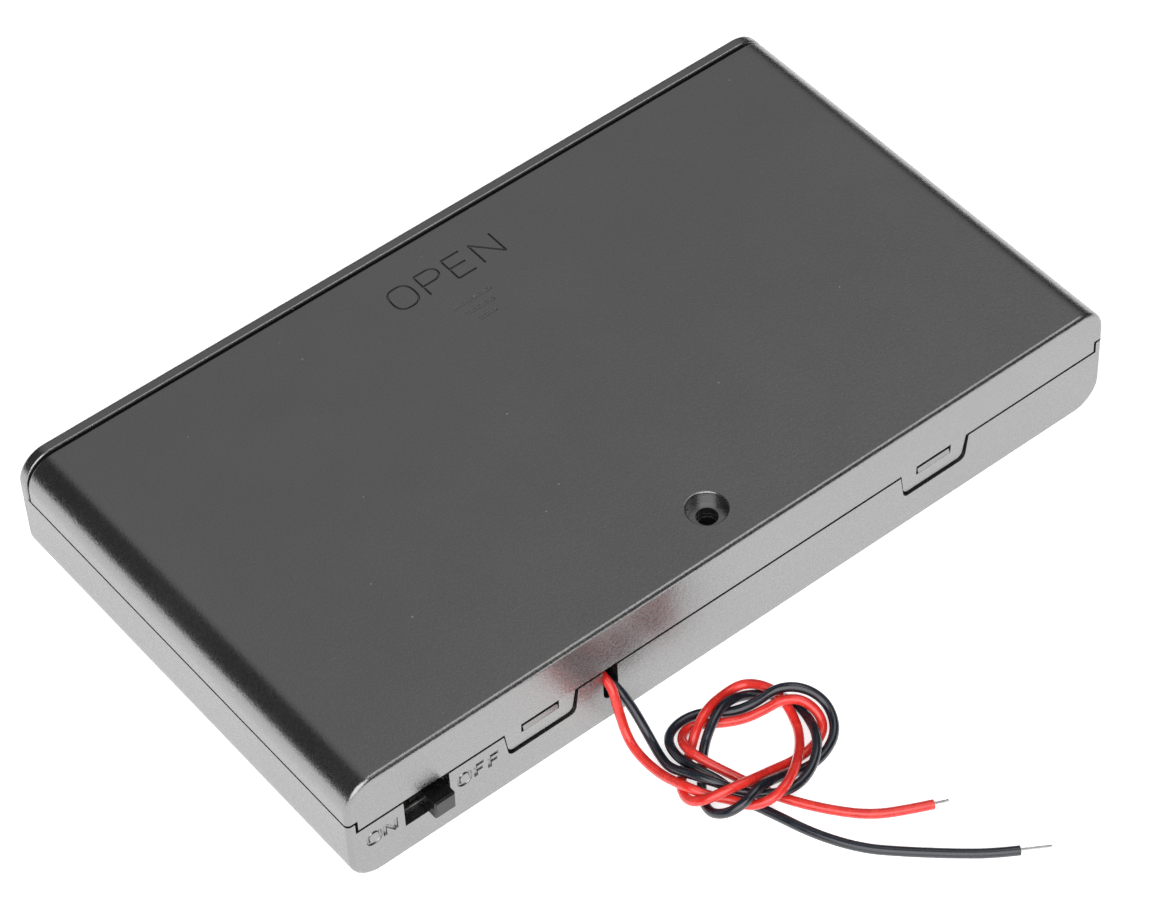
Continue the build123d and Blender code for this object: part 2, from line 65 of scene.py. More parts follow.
def makeCamera():
    azimuth = math.radians(view["azimuth"])
    elevation = math.radians(view["elevation"])
    roll = math.radians(view["roll"])
    level = math.cos(elevation)
    forward = Vector((-math.sin(azimuth) * level, math.cos(azimuth) * level, -math.sin(elevation)))
    upright = (Vector((0, 0, 1)) - forward * forward.z).normalized()
    sideways = forward.cross(upright)
    up = upright * math.cos(roll) + sideways * math.sin(roll)
    right = forward.cross(up)
    turned = Matrix((right, up, -forward)).transposed().to_4x4()
    data = bpy.data.cameras.new("camera")
    data.lens = view["lens"]
    data.sensor_width = view["sensor"]
    data.sensor_fit = "HORIZONTAL"
    data.clip_start = 0.01
    camera = bpy.data.objects.new("camera", data)
    camera.matrix_world = Matrix.Translation(view["place"]) @ turned
    bpy.context.collection.objects.link(camera)
    bpy.context.scene.camera = camera


makeCamera()
bpy.context.scene.view_settings.view_transform = "Standard"
print("camera ready")


# Small helpers for materials
def newMaterial(name):
    material = bpy.data.materials.new(name)
    material.use_nodes = True
    tree = material.node_tree
    shader = tree.nodes["Principled BSDF"]
    return material, tree, shader


def addNode(tree, kind, **settings):
    node = tree.nodes.new(kind)
    for name, value in settings.items():
        if name in node.inputs:
            node.inputs[name].default_value = value
        else:
            setattr(node, name, value)
    return node


def placeInMetres(tree):
    return addNode(tree, "ShaderNodeTexCoord").outputs["Object"]


def noise(tree, scale, detail=2.0, roughness=0.5):
    node = addNode(tree, "ShaderNodeTexNoise", Scale=scale, Detail=detail, Roughness=roughness)
    tree.links.new(placeInMetres(tree), node.inputs["Vector"])
    return node.outputs["Fac"]


def spread(tree, source, low, high, fromLow=0.3, fromHigh=0.7):
    # A value stretched between two numbers
    node = addNode(tree, "ShaderNodeMapRange")
    node.inputs["From Min"].default_value = fromLow
    node.inputs["From Max"].default_value = fromHigh
    node.inputs["To Min"].default_value = low
    node.inputs["To Max"].default_value = high
    tree.links.new(source, node.inputs["Value"])
    return node.outputs["Result"]


def tint(tree, source, dark, light):
    # A colour that drifts between two shades
    ramp = addNode(tree, "ShaderNodeValToRGB")
    ramp.color_ramp.elements[0].color = (*dark, 1)
    ramp.color_ramp.elements[0].position = 0.35
    ramp.color_ramp.elements[1].color = (*light, 1)
    ramp.color_ramp.elements[1].position = 0.65
    tree.links.new(source, ramp.inputs["Fac"])
    return ramp.outputs["Color"]


def overlay(tree, share, under, colour):
    # A second colour laid over the first by a share between 0 and 1
    node = addNode(tree, "ShaderNodeMix", data_type="RGBA")
    tree.links.new(share, node.inputs[0])       # factor
    tree.links.new(under, node.inputs[6])       # colour A
    node.inputs[7].default_value = (*colour, 1)     # colour B
    return node.outputs[2]      # mixed colour


def bump(tree, shader, heights, strength):
    # heights are pairs of a value between 0 and 1 and the relief in metres
    normal = None
    for source, relief in heights:
        node = addNode(tree, "ShaderNodeBump", Strength=strength, Distance=relief)
        tree.links.new(source, node.inputs["Height"])
        if normal:
            tree.links.new(normal, node.inputs["Normal"])
        normal = node.outputs["Normal"]
    tree.links.new(normal, shader.inputs["Normal"])


def dust(tree, scale, radius, left):
    # Scattered specks: one in each cell of the texture, of which a share is left out
    cells = addNode(tree, "ShaderNodeTexVoronoi", Scale=scale)
    tree.links.new(placeInMetres(tree), cells.inputs["Vector"])
    near = spread(tree, cells.outputs["Distance"], 1, 0, radius * scale * 0.5, radius * scale)
    pick = addNode(tree, "ShaderNodeSeparateColor")
    tree.links.new(cells.outputs["Color"], pick.inputs["Color"])
    chosen = addNode(tree, "ShaderNodeMath", operation="GREATER_THAN")
    chosen.inputs[1].default_value = left
    tree.links.new(pick.outputs["Red"], chosen.inputs[0])
    both = addNode(tree, "ShaderNodeMath", operation="MULTIPLY")
    tree.links.new(near, both.inputs[0])
    tree.links.new(chosen.outputs[0], both.inputs[1])
    return both.outputs[0]


# Black moulding plastic with a fine spark-eroded texture, a few rubbed patches and specks of dust
caseFinish = {
    "dark": (0.009, 0.009, 0.0088),
    "light": (0.015, 0.015, 0.0147),
    "cloudScale": 85,       # scales are in cells of the texture to a metre
    "cloudDepth": 0.00002,
    "ior": 2.85,
    "smooth": 0.23,
    "rough": 0.32,
    "grainScale": 3000,
    "grainDepth": 0.00007,
    "relief": 0.4,
    "patchScale": 32,
    "patchChange": (-0.02, 0.03),       # roughness that the rubbed patches take off or add
    "speck": (0.3, 0.3, 0.29),
    "speckScale": 260,
    "speckRadius": 0.00013,
    "specksLeftOut": 0.55,
}


def makeCasePlastic():
    material, tree, shader = newMaterial("casePlastic")
    cloud = noise(tree, caseFinish["cloudScale"], 3)
    grain = noise(tree, caseFinish["grainScale"], 2, 0.6)
    patches = noise(tree, caseFinish["patchScale"], 2, 0.4)
    colour = tint(tree, cloud, caseFinish["dark"], caseFinish["light"])
    specks = dust(tree, caseFinish["speckScale"], caseFinish["speckRadius"], caseFinish["specksLeftOut"])
    colour = overlay(tree, specks, colour, caseFinish["speck"])
    tree.links.new(colour, shader.inputs["Base Color"])
    roughness = addNode(tree, "ShaderNodeMath", operation="ADD")
    tree.links.new(spread(tree, grain, caseFinish["smooth"], caseFinish["rough"]), roughness.inputs[0])
    tree.links.new(spread(tree, patches, *caseFinish["patchChange"]), roughness.inputs[1])
    tree.links.new(roughness.outputs[0], shader.inputs["Roughness"])
    shader.inputs["IOR"].default_value = caseFinish["ior"]
    reliefs = [(grain, caseFinish["grainDepth"]), (cloud, caseFinish["cloudDepth"])]
    bump(tree, shader, reliefs, caseFinish["relief"])
    return material


# Smooth plastic of the switch's slider
knobFinish = {
    "dark": (0.003, 0.003, 0.003),
    "light": (0.006, 0.006, 0.006),
    "cloudScale": 900,
    "cloudDepth": 0.00001,
    "relief": 0.3,
    "smooth": 0.24,
    "rough": 0.32,
    "ior": 1.45,
}


def makeKnobPlastic():
    material, tree, shader = newMaterial("knobPlastic")
    cloud = noise(tree, knobFinish["cloudScale"], 3)
    colour = tint(tree, cloud, knobFinish["dark"], knobFinish["light"])
    tree.links.new(colour, shader.inputs["Base Color"])
    roughness = spread(tree, cloud, knobFinish["smooth"], knobFinish["rough"])
    tree.links.new(roughness, shader.inputs["Roughness"])
    shader.inputs["IOR"].default_value = knobFinish["ior"]
    bump(tree, shader, [(cloud, knobFinish["cloudDepth"])], knobFinish["relief"])
    return material


# Soft sleeve of the leads, in two shades of each colour
sleeveColours = {
    "redSleeve": ((0.72, 0.022, 0.016), (0.86, 0.04, 0.03)),
    "blackSleeve": ((0.006, 0.008, 0.014), (0.012, 0.016, 0.026)),
}
sleeveFinish = {
    "cloudScale": 500,
    "cloudDepth": 0.00003,
    "relief": 0.25,
    "smooth": 0.2,
    "rough": 0.32,
    "ior": 1.6,
}


def makeSleeve(name):
    dark, light = sleeveColours[name]
    material, tree, shader = newMaterial(name)
    cloud = noise(tree, sleeveFinish["cloudScale"], 3)
    tree.links.new(tint(tree, cloud, dark, light), shader.inputs["Base Color"])
    roughness = spread(tree, cloud, sleeveFinish["smooth"], sleeveFinish["rough"])
    tree.links.new(roughness, shader.inputs["Roughness"])
    shader.inputs["IOR"].default_value = sleeveFinish["ior"]
    bump(tree, shader, [(cloud, sleeveFinish["cloudDepth"])], sleeveFinish["relief"])
    return material


# Bright metals: two shades and the roughness of each
metalColours = {
    "contactPlate": ((0.6, 0.59, 0.56), (0.67, 0.66, 0.63), 0.3),
    "springWire": ((0.64, 0.63, 0.61), (0.72, 0.71, 0.69), 0.24),
    "switchSheet": ((0.53, 0.53, 0.53), (0.6, 0.6, 0.6), 0.34),
    "tinnedWire": ((0.64, 0.64, 0.63), (0.76, 0.75, 0.73), 0.3),
    "solder": ((0.58, 0.58, 0.59), (0.7, 0.7, 0.7), 0.26),
}
metalFinish = {
    "cloudScale": 700,
    "fineScale": 5000,
    "fineDepth": 0.000004,
    "relief": 0.2,
    "smoother": 0.03,       # how far the roughness drifts down, and up
    "rougher": 0.04,
}


def makeMetal(name):
    dark, light, roughness = metalColours[name]
    material, tree, shader = newMaterial(name)
    cloud = noise(tree, metalFinish["cloudScale"], 4)
    fine = noise(tree, metalFinish["fineScale"], 2)
    tree.links.new(tint(tree, cloud, dark, light), shader.inputs["Base Color"])
    drift = spread(tree, cloud, roughness - metalFinish["smoother"], roughness + metalFinish["rougher"])
    tree.links.new(drift, shader.inputs["Roughness"])
    shader.inputs["Metallic"].default_value = 1.0
    bump(tree, shader, [(fine, metalFinish["fineDepth"])], metalFinish["relief"])
    return material


# Pressed paper board that holds the switch's pins
laminateFinish = {
    "dark": (0.16, 0.07, 0.025),
    "light": (0.27, 0.13, 0.05),
    "cloudScale": 1500,
    "smooth": 0.45,
    "rough": 0.6,
}


def makeLaminate():
    material, tree, shader = newMaterial("laminate")
    cloud = noise(tree, laminateFinish["cloudScale"], 4)
    colour = tint(tree, cloud, laminateFinish["dark"], laminateFinish["light"])
    tree.links.new(colour, shader.inputs["Base Color"])
    roughness = spread(tree, cloud, laminateFinish["smooth"], laminateFinish["rough"])
    tree.links.new(roughness, shader.inputs["Roughness"])
    return material


materials = {
    "casePlastic": makeCasePlastic(),
    "knobPlastic": makeKnobPlastic(),
    "laminate": makeLaminate(),
}
for sleeveName in sleeveColours:
    materials[sleeveName] = makeSleeve(sleeveName)
for metalName in metalColours:
    materials[metalName] = makeMetal(metalName)
print("materials ready")


# Small helpers for pieces
def addPiece(name, data, finish, body, replaced=None):
    piece = bpy.data.objects.new(name, data)
    bpy.context.collection.objects.link(piece)
    data.materials.clear()
    data.materials.append(materials[finish])
    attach(piece, body)
    if replaced:
        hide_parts(replaced)
    return piece


# In millimetres and degrees: points this close are one, and faces this flat are one
welding = {"distance": 0.002, "flatAngle": 1.0}


def weldedCopy(nodeName):
    # A node's mesh with its seams welded and its flat faces whole again
    mesh = nodeObjects[nodeName].data.copy()
    if mesh.has_custom_normals:
        mesh.attributes.remove(mesh.attributes["custom_normal"])
    shape = bmesh.new()
    shape.from_mesh(mesh)
    bmesh.ops.remove_doubles(shape, verts=shape.verts, dist=welding["distance"] * mm)
    bmesh.ops.dissolve_limit(
        shape, angle_limit=math.radians(welding["flatAngle"]),
        verts=shape.verts, edges=shape.edges, delimit={"NORMAL"}
    )
    shape.to_mesh(mesh)
    shape.free()
    mesh.name = nodeName + "Mesh"
    return mesh


def shadeSmooth(mesh, sharpAngle=32):
    mesh.polygons.foreach_set("use_smooth", [True] * len(mesh.polygons))
    mesh.set_sharp_from_angle(angle=math.radians(sharpAngle))


def bakeModifiers(piece):
    # The finished mesh takes the place of the mesh and its modifiers
    bpy.context.view_layer.update()
    graph = bpy.context.evaluated_depsgraph_get()
    finished = bpy.data.meshes.new_from_object(piece.evaluated_get(graph))
    piece.modifiers.clear()
    piece.data = finished


def evenNormals(piece):
    # Flat faces look flat right up to their rounded edges
    normals = piece.modifiers.new("evenNormals", "WEIGHTED_NORMAL")
    normals.keep_sharp = True
    normals.weight = 100


# Lettering sunk into the mouldings: each letter is a few strokes in a box one wide and one high
def ring(sides=28, squareness=2.6):
    # The O, rounder as its squareness nears 2
    points = []
    for step in range(sides):
        turn = 2 * math.pi * step / sides
        x = math.copysign(abs(math.cos(turn)) ** (2 / squareness), math.cos(turn))
        y = math.copysign(abs(math.sin(turn)) ** (2 / squareness), math.sin(turn))
        points.append((0.5 + x / 2, 0.5 + y / 2))
    return points


def bowl(top=1.0, bottom=0.46, bend=0.62, steps=10):
    # The round part of a P, from the stem and back to it
    middle = (top + bottom) / 2
    points = [(0, top)]
    for step in range(steps + 1):
        turn = math.pi / 2 - math.pi * step / steps
        points.append((bend + (1 - bend) * math.cos(turn), middle + (top - bottom) / 2 * math.sin(turn)))
    return points + [(0, bottom)]


# A stroke is its points, and whether it closes on itself
letterStrokes = {
    "O": [(ring(), True)],
    "P": [([(0, 0), (0, 1)], False), (bowl(), False)],
    "E": [([(0, 0), (0, 1)], False), ([(0, 1), (1, 1)], False), ([(0, 0.52), (0.9, 0.52)], False),
          ([(0, 0), (1, 0)], False)],
    "N": [([(0, 0), (0, 1)], False), ([(0, 1), (1, 0)], False), ([(1, 0), (1, 1)], False)],
    "F": [([(0, 0), (0, 1)], False), ([(0, 1), (1, 1)], False), ([(0, 0.52), (0.85, 0.52)], False)],
    "-": [([(0, 0.5), (1, 0.5)], False)],
    "+": [([(0, 0.5), (1, 0.5)], False), ([(0.5, 0), (0.5, 1)], False)],
}

# In millimetres: where each letter starts, how wide it is, and the line that it stands on
switchWords = {
    "letters": [
        ("O", -60.1, 1.9), ("N", -57.5, 1.7),
        ("O", -46.0, 1.8), ("F", -43.35, 1.3), ("F", -41.15, 1.4),
    ],
    "bottom": 6.0,
    "height": 2.1,
    "strokeWidth": 0.56,
}
coverWord = {
    "letters": [("O", -8.9, 3.75), ("P", -3.85, 3.3), ("E", 0.8, 3.0), ("N", 5.35, 3.55)],
    "bottom": 23.8,
    "height": 4.1,
    "strokeWidth": 0.32,
    "deepen": 1.9,          # how much deeper than half its width a stroke is
}
coverArrow = {
    "bars": [(-3.3, 3.0, 19.7), (-2.5, 2.2, 17.9), (-1.7, 1.2, 16.1)],      # left end, right end, place
    "strokeWidth": 1.1,
    "raise": 0.44,          # the round bar's middle stands this far above the cover, so the groove is shallow
}


def grooveTool(name, strokes, radius):
    # Round bars along the strokes, which cut round-bottomed grooves
    curve = bpy.data.curves.new(name, "CURVE")
    curve.dimensions = "3D"
    curve.bevel_depth = radius
    curve.bevel_resolution = 3
    curve.use_fill_caps = True
    for points, closed in strokes:
        spline = curve.splines.new("POLY")
        spline.points.add(len(points) - 1)
        for control, point in zip(spline.points, points):
            control.co = (*point, 1)
        spline.use_cyclic_u = closed
    source = bpy.data.objects.new(name, curve)
    bpy.context.collection.objects.link(source)
    bpy.context.view_layer.update()
    graph = bpy.context.evaluated_depsgraph_get()
    mesh = bpy.data.meshes.new_from_object(source.evaluated_get(graph))
    bpy.data.objects.remove(source)
    tool = bpy.data.objects.new(name, mesh)
    bpy.context.collection.objects.link(tool)
    return tool


def wordStrokes(word, place):
    # place turns a letter's across and up, in millimetres, into a point on the moulding
    strokes = []
    for letter, left, width in word["letters"]:
        for points, closed in letterStrokes[letter]:
            strokes.append((
                [place(left + x * width, word["bottom"] + y * word["height"]) for x, y in points], closed
            ))
    return strokes


def sink(piece, tool):
    # Cuts the tool's shape out of the piece
    cut = piece.modifiers.new(tool.name, "BOOLEAN")
    cut.operation = "DIFFERENCE"
    cut.solver = "EXACT"
    cut.use_self = True
    cut.object = tool
    bakeModifiers(piece)
    bpy.data.objects.remove(tool)


# The top of each lug in a tab's window, cut back to a dark gap, in millimetres
lugTops = {
    "middles": (-32.78, 33.02),
    "halfWidth": 3.0,
    "inFront": 0.5,         # start in front of the wall
    "depth": 1.3,
    "low": 9.3,
    "high": 9.8,
}


def boxTool(name, low, high):
    # A block between two corners in millimetres
    mesh = bpy.data.meshes.new(name)
    shape = bmesh.new()
    bmesh.ops.create_cube(shape, size=1)
    for vert in shape.verts:
        share = [coordinate + 0.5 for coordinate in vert.co]
        vert.co = [(low[axis] + (high[axis] - low[axis]) * share[axis]) * mm for axis in range(3)]
    shape.to_mesh(mesh)
    shape.free()
    tool = bpy.data.objects.new(name, mesh)
    bpy.context.collection.objects.link(tool)
    return tool


def makeTray():
    tray = addPiece("tray", weldedCopy("case_base"), "casePlastic", "tray", "case_base")

    def onFront(x, z):
        return (x * mm, frontFace, z * mm)

    words = grooveTool("switchWords", wordStrokes(switchWords, onFront), switchWords["strokeWidth"] / 2 * mm)
    sink(tray, words)
    front = frontFace / mm
    for middle in lugTops["middles"]:
        low = (middle - lugTops["halfWidth"], front - lugTops["inFront"], lugTops["low"])
        high = (middle + lugTops["halfWidth"], front + lugTops["depth"], lugTops["high"])
        sink(tray, boxTool("lugTop", low, high))
    shadeSmooth(tray.data)
    evenNormals(tray)


def makeCover():
    cover = addPiece("cover", weldedCopy("sliding_cover"), "casePlastic", "cover", "sliding_cover")

    def onTop(x, y):
        return (x * mm, y * mm, caseTop)

    word = grooveTool("coverWord", wordStrokes(coverWord, onTop), coverWord["strokeWidth"] / 2 * mm)
    word.scale.z = coverWord["deepen"]
    word.location.z = caseTop * (1 - coverWord["deepen"])
    sink(cover, word)
    level = caseTop + coverArrow["raise"] * mm
    bars = [([(left * mm, y * mm, level), (right * mm, y * mm, level)], False)
            for left, right, y in coverArrow["bars"]]
    sink(cover, grooveTool("coverArrow", bars, coverArrow["strokeWidth"] / 2 * mm))
    shadeSmooth(cover.data)
    evenNormals(cover)


makeTray()
makeCover()
print("tray and cover ready")

# Stamped and moulded small pieces: finish, body, and the edge radius in millimetres
smallPieces = {
    "switch_knob": ("knobPlastic", "knob", 0.12),
    "switch_shell": ("switchSheet", "tray", 0.08),
    "switch_insulator": ("laminate", "tray", 0.04),
    "positive_terminal": ("contactPlate", "tray", 0.12),
    "negative_terminal": ("contactPlate", "tray", 0.12),
}
for nodeName in sorted(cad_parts):
    if "_link_" in nodeName:
        smallPieces[nodeName] = ("contactPlate", "tray", 0.12)
    elif nodeName.startswith("switch_pin"):
        smallPieces[nodeName] = ("tinnedWire", "tray", 0.06)


def makeSmallPiece(nodeName):
    finish, body, radius = smallPieces[nodeName]
    piece = addPiece(nodeName + "Piece", weldedCopy(nodeName), finish, body, nodeName)
    edges = piece.modifiers.new("edges", "BEVEL")
    edges.width = radius * mm
    edges.segments = 3
    edges.limit_method = "ANGLE"
    edges.angle_limit = math.radians(35)
    edges.use_clamp_overlap = True
    bakeModifiers(piece)
    shadeSmooth(piece.data, 40)
    evenNormals(piece)


for nodeName in smallPieces:
    makeSmallPiece(nodeName)
print("switch and contacts ready")

# The stretches of wire inside the case keep their tubes, with the sleeves' finish
innerWires = {"jumper_wire": "redSleeve", "red_inner_lead": "redSleeve", "black_inner_lead": "blackSleeve"}
for nodeName, finish in innerWires.items():
    for slot in nodeObjects[nodeName].material_slots:
        slot.material = materials[finish]

# The two free leads: the route's points in millimetres from the foot of the slot, the lengths in metres
leads = {
    "diameter": 1.3,
    "slotX": -21.75,
    "black": [
        (0.45, 2.2, 6.4), (0.45, -0.5, 6.4), (1.2, -2.5, 4.0), (1.3, -5.9, 0.65),
        (0.4, -9.0, 0.65), (-0.2, -11.8, 1.3), (0.1, -15.0, 3.2), (1.6, -18.1, 3.4),
        (3.3, -20.0, 2.3), (4.8, -22.0, 2.0), (6.8, -23.8, 2.0), (9.9, -24.8, 2.0),
        (13.4, -23.8, 2.3), (16.5, -21.1, 2.6), (18.5, -16.8, 1.2), (19.0, -13.4, 0.65),
        (17.6, -10.6, 0.65), (14.7, -8.6, 0.9), (11.0, -8.9, 2.5), (7.6, -10.5, 2.2),
        (5.3, -11.8, 0.8), (2.7, -14.6, 0.65), (0.2, -17.6, 0.65), (-0.7, -20.3, 0.9),
        (0.2, -22.6, 2.4), (2.4, -23.5, 3.7), (5.6, -22.7, 3.9), (9.7, -22.1, 1.7),
        (12.9, -22.5, 0.65), (16.2, -22.5, 0.65), (20.0, -20.6, 0.7), (21.5, -17.2, 1.9),
        (20.1, -14.4, 3.6), (17.3, -12.3, 4.0), (14.2, -10.9, 1.4), (11.5, -9.5, 0.65),
        (9.1, -7.2, 0.65), (5.8, -6.4, 0.65), (2.6, -7.7, 1.1), (1.2, -11.2, 2.0),
        (1.8, -14.8, 2.3), (3.3, -17.6, 1.5), (3.9, -21.1, 0.65), (5.5, -25.5, 0.65),
        (7.3, -31.0, 0.65), (10.3, -36.4, 0.65), (14.1, -40.3, 0.65), (19.1, -44.9, 0.65),
        (22.4, -47.6, 0.65), (25.1, -49.3, 0.65),
    ],
    "red": [
        (-0.45, 2.2, 8.0), (-0.45, -0.7, 8.0), (-0.8, -2.2, 5.0), (-1.1, -4.5, 0.8),
        (-1.6, -7.9, 0.65), (-1.5, -11.9, 0.9), (-1.2, -16.0, 2.7), (0.2, -18.5, 2.1),
        (2.1, -20.8, 2.0), (3.4, -23.5, 2.0), (5.8, -25.0, 3.2), (8.9, -24.4, 3.6),
        (12.7, -21.7, 2.6), (15.9, -18.2, 1.2), (17.4, -15.0, 0.8), (17.7, -12.7, 1.8),
        (17.0, -10.4, 2.6), (15.6, -7.5, 1.6), (12.7, -7.1, 1.3), (9.1, -8.2, 2.5),
        (6.0, -9.6, 2.2), (4.2, -10.7, 0.65), (1.6, -12.6, 0.65), (-0.7, -14.4, 0.65),
        (-1.8, -17.1, 1.2), (-1.1, -19.4, 2.8), (1.9, -20.7, 4.0), (5.3, -21.1, 3.5),
        (9.2, -20.5, 1.6), (12.5, -20.6, 0.65), (15.5, -20.7, 0.65), (18.8, -19.5, 0.65),
        (19.7, -17.6, 1.7), (18.8, -15.4, 3.2), (16.8, -13.7, 3.2), (14.7, -12.6, 1.6),
        (12.3, -11.5, 0.65), (9.8, -10.2, 0.65), (8.0, -8.7, 0.65), (5.8, -7.9, 0.65),
        (3.9, -9.0, 1.2), (2.7, -11.6, 2.6), (3.4, -14.2, 2.2), (4.4, -16.2, 1.6),
        (5.8, -18.5, 0.65), (6.8, -21.4, 0.65), (8.2, -24.8, 0.65), (11.2, -29.4, 0.65),
        (14.5, -33.2, 0.65), (18.3, -35.5, 0.65), (21.7, -37.1, 0.65),
    ],
    "length": {"black": 0.1796, "red": 0.1619},
}


def makeLead(colour):
    corner = Vector((leads["slotX"] * mm, frontFace, 0))
    points = [corner + Vector(point) * mm for point in leads[colour]]
    curve = bpy.data.curves.new(colour + "Lead", "CURVE")
    curve.dimensions = "3D"
    curve.bevel_depth = leads["diameter"] / 2 * mm
    curve.bevel_resolution = 6
    curve.use_fill_caps = True
    spline = curve.splines.new("NURBS")
    spline.points.add(len(points) - 1)
    for control, point in zip(spline.points, points):
        control.co = (*point, 1)
    spline.order_u = 3
    spline.use_endpoint_u = True
    spline.resolution_u = 10
    lead = addPiece(colour + "Lead", curve, colour + "Sleeve", "tray", colour + "_lead")
    return lead, points


# Tinned ends: a few strands twisted together, past the end of the sleeve
tips = {
    "strands": 7,
    "strandDiameter": 0.2,
    "turnEvery": 3.2,       # length of one twist
    "inside": 0.4,          # start inside the sleeve
    "uneven": 0.05,         # steps by which the strands end shorter
    "steps": 20,
    "black": 4.0,           # bare length past each sleeve
    "red": 2.0,
}


def makeTip(colour, points):
    end = points[-1]
    along = (points[-1] - points[-2]).normalized()
    side = along.cross(Vector((0, 0, 1))).normalized()
    over = side.cross(along)
    radius = tips["strandDiameter"] * mm
    curve = bpy.data.curves.new(colour + "Tip", "CURVE")
    curve.dimensions = "3D"
    curve.bevel_depth = tips["strandDiameter"] / 2 * mm
    curve.bevel_resolution = 2
    curve.use_fill_caps = True
    length = tips[colour] * mm
    steps = tips["steps"]
    for strand in range(tips["strands"]):
        spline = curve.splines.new("POLY")
        spline.points.add(steps)
        off = radius if strand else 0
        for step in range(steps + 1):
            reach = -tips["inside"] * mm + (length + tips["inside"] * mm) * step / steps
            reach -= tips["uneven"] * mm * (strand % 3) * step / steps
            turn = 2 * math.pi * (strand / (tips["strands"] - 1) + reach / (tips["turnEvery"] * mm))
            place = end + along * reach + (side * math.cos(turn) + over * math.sin(turn)) * off
            spline.points[step].co = (*place, 1)
    return addPiece(colour + "Tip", curve, "tinnedWire", "tray", colour + "_tip")


for colour in ("black", "red"):
    lead, points = makeLead(colour)
    tip = makeTip(colour, points)
print("leads ready")

# Conical contact springs of round wire, with the first turn closed on the plate
springs = {
    "wire": 0.55,
    "baseDiameter": 7.5,
    "topDiameter": 5.0,
    "turns": 4.25,
    "closed": 0.75,         # turns that lie flat on the plate
    "opening": 1.15,        # above 1, the turns stand wider apart towards the cell
    "stepsInTurn": 32,
}


def makeSpring(number):
    nodeName = f"spring_{number}"
    low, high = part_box(nodeName)
    middle = [(low[axis] + high[axis]) / 2 for axis in range(3)]
    atBack = number % 2 == 1
    seat = (high[1] if atBack else low[1]) / mm
    inward = -1 if atBack else 1
    rise = (high[1] - low[1]) / mm - springs["wire"]
    curve = bpy.data.curves.new(nodeName + "Wire", "CURVE")
    curve.dimensions = "3D"
    curve.bevel_depth = springs["wire"] / 2 * mm
    curve.bevel_resolution = 4
    curve.use_fill_caps = True
    spline = curve.splines.new("POLY")
    steps = int(springs["turns"] * springs["stepsInTurn"])
    spline.points.add(steps)
    for step in range(steps + 1):
        turn = springs["turns"] * step / steps
        share = max(0.0, (turn - springs["closed"]) / (springs["turns"] - springs["closed"]))
        wide = springs["baseDiameter"] + (springs["topDiameter"] - springs["baseDiameter"]) * share
        radius = (wide - springs["wire"]) / 2
        angle = 2 * math.pi * turn
        height = springs["wire"] / 2 + rise * share ** springs["opening"]
        place = (
            middle[0] + radius * math.cos(angle) * mm,
            (seat + inward * height) * mm,
            middle[2] + radius * math.sin(angle) * mm,
        )
        spline.points[step].co = (*place, 1)
    addPiece(nodeName + "Wire", curve, "springWire", "tray", nodeName)


for number in range(1, cellCount + 1):
    makeSpring(number)
print("springs ready")

# Polarity marks raised on the tray's floor, at the ends of each cell's place
marks = {
    "floor": 1.6,
    "size": 3.4,
    "lineWidth": 0.7,
    "rise": 0.05,           # height of the round lines' middle above the floor
    "fromBack": 15.0,
    "fromFront": 27.0,      # further in, because of the wiring channel
}


def makeMark(number, sign, atFront):
    low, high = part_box(f"spring_{number}")
    size = marks["size"]
    x = (low[0] + high[0]) / 2 / mm - size / 2
    y = frontFace / mm + marks["fromFront"] if atFront else backFace / mm - marks["fromBack"]
    z = marks["floor"] + marks["rise"]
    strokes = []
    for points, closed in letterStrokes[sign]:
        placed = [((x + across * size) * mm, (y + up * size) * mm, z * mm) for across, up in points]
        strokes.append((placed, closed))
    mark = grooveTool(f"mark{number}{'Front' if atFront else 'Back'}", strokes, marks["lineWidth"] / 2 * mm)
    mark.data.materials.clear()
    mark.data.materials.append(materials["casePlastic"])
    shadeSmooth(mark.data, 40)
    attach(mark, "tray")


for number in range(1, cellCount + 1):
    makeMark(number, "+" if number % 2 else "-", True)
    makeMark(number, "-" if number % 2 else "+", False)
print("marks ready")

# Solder where the wires meet the switch pins and the end contacts' tails
solder = {
    "width": 1.9,
    "depth": 1.8,
    "height": 1.3,
    "rise": 0.3,            # middle of a blob above the pin or the tail
    "slump": 0.25,          # share by which the foot of a blob is wider
    "sides": 20,
    "fromPinEnd": 0.85,
    "fromTailEdge": 0.9,
    "fromWireEdge": 1.0,
}


def makeBlob(name, place, turned=False):
    mesh = bpy.data.meshes.new(name)
    shape = bmesh.new()
    bmesh.ops.create_uvsphere(shape, u_segments=solder["sides"], v_segments=solder["sides"] // 2, radius=0.5)
    wide, deep = (solder["depth"], solder["width"]) if turned else (solder["width"], solder["depth"])
    for vert in shape.verts:
        x, y, z = vert.co
        slump = 1 + solder["slump"] * max(0.0, -z * 2)
        vert.co = (x * wide * slump * mm, y * deep * slump * mm, z * solder["height"] * mm)
        vert.co += Vector(place)
    shape.to_mesh(mesh)
    shape.free()
    shadeSmooth(mesh, 60)
    addPiece(name, mesh, "solder", "tray")


